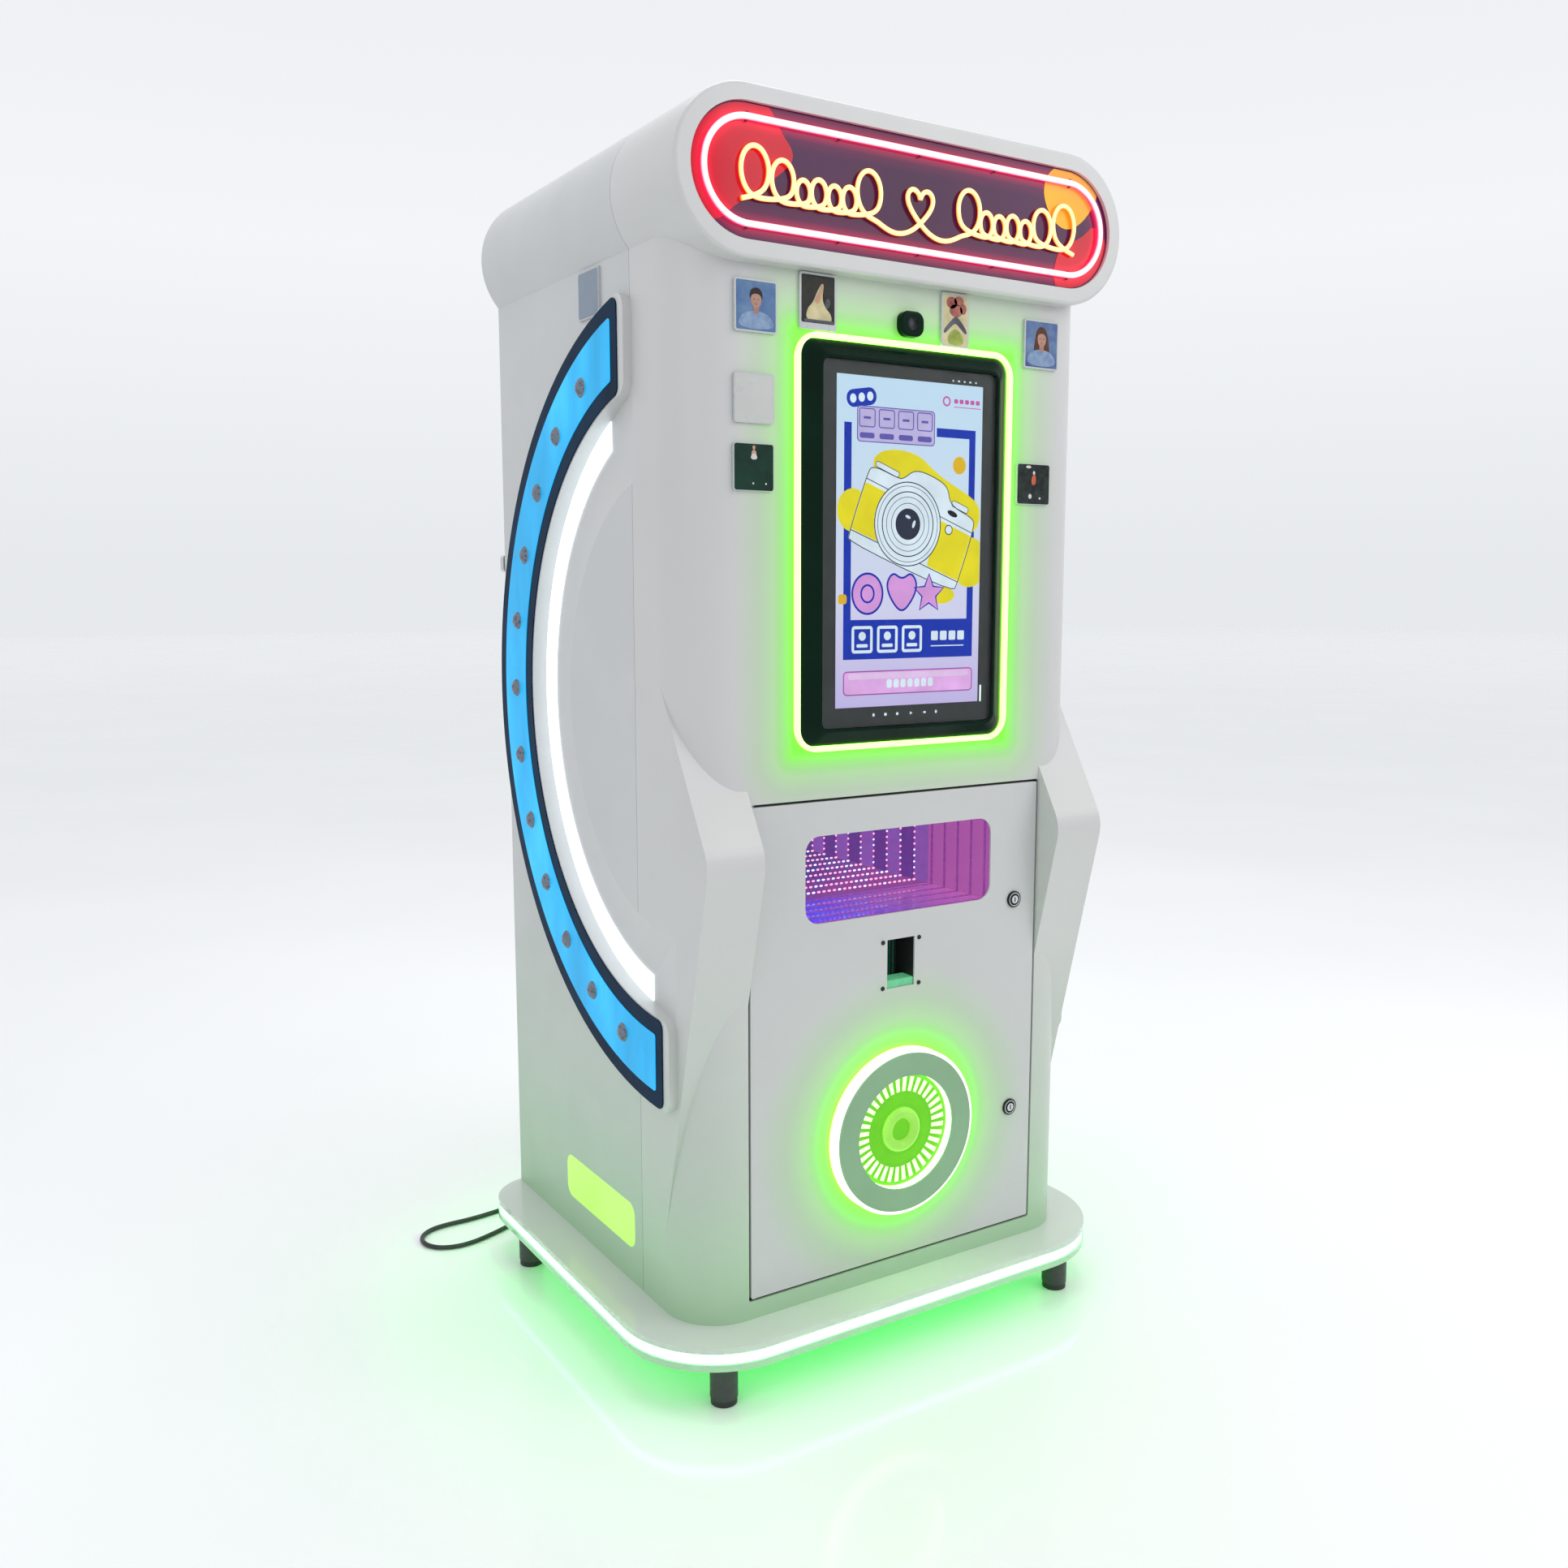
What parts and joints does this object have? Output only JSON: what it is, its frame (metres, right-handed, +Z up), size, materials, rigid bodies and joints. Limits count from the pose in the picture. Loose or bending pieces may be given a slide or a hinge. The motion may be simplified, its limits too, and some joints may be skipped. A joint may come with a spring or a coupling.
{
  "type": "photo magnet kiosk",
  "caption": "Free-standing photo magnet kiosk: stadium-shaped lit marquee, portrait touch screen, lit side arcs, hinged service door with pickup window and ring light.",
  "frame": {"origin": "middle of the footprint on the floor, mains lead left out", "axes": "+Z up, -Y towards the customer, +X to the customer's right when facing the screen"},
  "size_m": [0.9875, 0.886, 1.859],
  "materials": {
    "moulded_white": "satin moulding",
    "painted_white": "powder coat",
    "base_white": "gloss",
    "white_light": "lit diffuser",
    "green_light": "lit diffuser",
    "frame_steel": "powder coat",
    "foot_black": "matt",
    "panel_plum": "gloss",
    "neon_pink": "lit tube",
    "neon_amber": "lit tube",
    "black_gloss": "gloss",
    "clear_glass": "polished",
    "display_face": "lit display",
    "navy_trim": "gloss",
    "blue_light": "lit diffuser",
    "stud_grey": "textured",
    "lime_light": "lit diffuser",
    "bin_violet": "gloss",
    "bin_mirror": "polished",
    "black_matte": "matt",
    "ring_grey": "satin",
    "disc_green": "lit disc",
    "lock_chrome": "polished",
    "handle_grey": "satin",
    "guard_steel": "polished",
    "equipment_grey": "textured",
    "magnet_face": "printed gloss",
    "cord_rubber": "matt"
  },
  "bodies": {
    "cabinet": {"front_shell": "moulded_white", "marquee_front": "moulded_white", "arc_housings": "moulded_white", "rear_shell": "painted_white", "marquee_rear": "painted_white", "base_top_plate": "base_white", "base_tray": "base_white", "base_light": "white_light", "arc_lights": "white_light", "screen_light": "green_light", "base_frame": "frame_steel", "door_frame": "frame_steel", "printer_rack": "frame_steel", "computer_bracket": "frame_steel", "marquee_panel": "panel_plum", "neon_outline": "neon_pink", "neon_flourish": "neon_amber", "screen_bezel": "black_gloss", "camera_pod": "black_gloss", "screen_glass": "clear_glass", "camera_lens": "clear_glass", "display_panel": "display_face", "arc_trims": "navy_trim", "arc_panels": "blue_light", "arc_studs": "stud_grey", "side_windows": "lime_light", "display_module": "black_matte", "delivery_chute": "black_matte", "photo_printer": "equipment_grey", "computer": "equipment_grey", "power_supply": "equipment_grey", "magnets": "magnet_face", "mains_cord": "cord_rubber", "cord_coil": "cord_rubber", "cord_gland": "cord_rubber", "cord_plug": "cord_rubber"},
    "service_door": {"service_door": "painted_white", "pickup_bin": "bin_violet", "bin_mirror": "bin_mirror", "slot_housing": "black_matte", "ring_diffuser": "green_light", "ring_plate": "ring_grey", "ring_disc": "disc_green", "ring_boss": "disc_green", "upper_lock_body": "lock_chrome", "lower_lock_body": "lock_chrome"},
    "upper_lock": {"upper_lock_plug": "lock_chrome"},
    "lower_lock": {"lower_lock_plug": "lock_chrome"},
    "flap": {"pickup_flap": "clear_glass"},
    "rear_door": {"rear_door": "painted_white", "fan_housing": "black_matte", "fan_guard": "guard_steel"},
    "rear_handle": {"rear_handle": "handle_grey"},
    "fan": {"fan_rotor": "black_matte"},
    "foot_front_left": {"foot_front_left": "foot_black"},
    "foot_front_right": {"foot_front_right": "foot_black"},
    "foot_rear_left": {"foot_rear_left": "foot_black"},
    "foot_rear_right": {"foot_rear_right": "foot_black"}
  },
  "joints": [
    {"name": "service_door_hinge", "type": "hinge", "parent": "cabinet", "child": "service_door", "pos_m": [-0.266, -0.304, 0.511], "axis": [0, 0, -1], "range_deg": [0, 90]},
    {"name": "upper_lock_turn", "type": "hinge", "parent": "service_door", "child": "upper_lock", "pos_m": [0.229, -0.3, 0.693], "axis": [0, 1, 0], "range_deg": [0, 90]},
    {"name": "lower_lock_turn", "type": "hinge", "parent": "service_door", "child": "lower_lock", "pos_m": [0.229, -0.3, 0.339], "axis": [0, 1, 0], "range_deg": [0, 90]},
    {"name": "pickup_flap_hinge", "type": "hinge", "parent": "service_door", "child": "flap", "pos_m": [0, -0.3065, 0.834], "axis": [1, 0, 0], "range_deg": [0, 70]},
    {"name": "rear_door_hinge", "type": "hinge", "parent": "cabinet", "child": "rear_door", "pos_m": [0.344, 0.348, 0.895], "axis": [0, 0, -1], "range_deg": [0, 100]},
    {"name": "rear_handle_turn", "type": "hinge", "parent": "rear_door", "child": "rear_handle", "pos_m": [-0.318, 0.356, 1.241], "axis": [0, -1, 0], "range_deg": [0, 90]},
    {"name": "fan_spin", "type": "hinge", "parent": "rear_door", "child": "fan", "pos_m": [0, 0.34, 1.44], "axis": [0, 1, 0], "continuous": true},
    {"name": "foot_front_left_turn", "type": "hinge", "parent": "cabinet", "child": "foot_front_left", "pos_m": [-0.33, -0.325, 0.03], "axis": [0, 0, 1], "continuous": true},
    {"name": "foot_front_right_turn", "type": "hinge", "parent": "cabinet", "child": "foot_front_right", "pos_m": [0.33, -0.325, 0.03], "axis": [0, 0, 1], "continuous": true},
    {"name": "foot_rear_left_turn", "type": "hinge", "parent": "cabinet", "child": "foot_rear_left", "pos_m": [-0.402, 0.24, 0.03], "axis": [0, 0, 1], "continuous": true},
    {"name": "foot_rear_right_turn", "type": "hinge", "parent": "cabinet", "child": "foot_rear_right", "pos_m": [0.402, 0.24, 0.03], "axis": [0, 0, 1], "continuous": true}
  ]
}
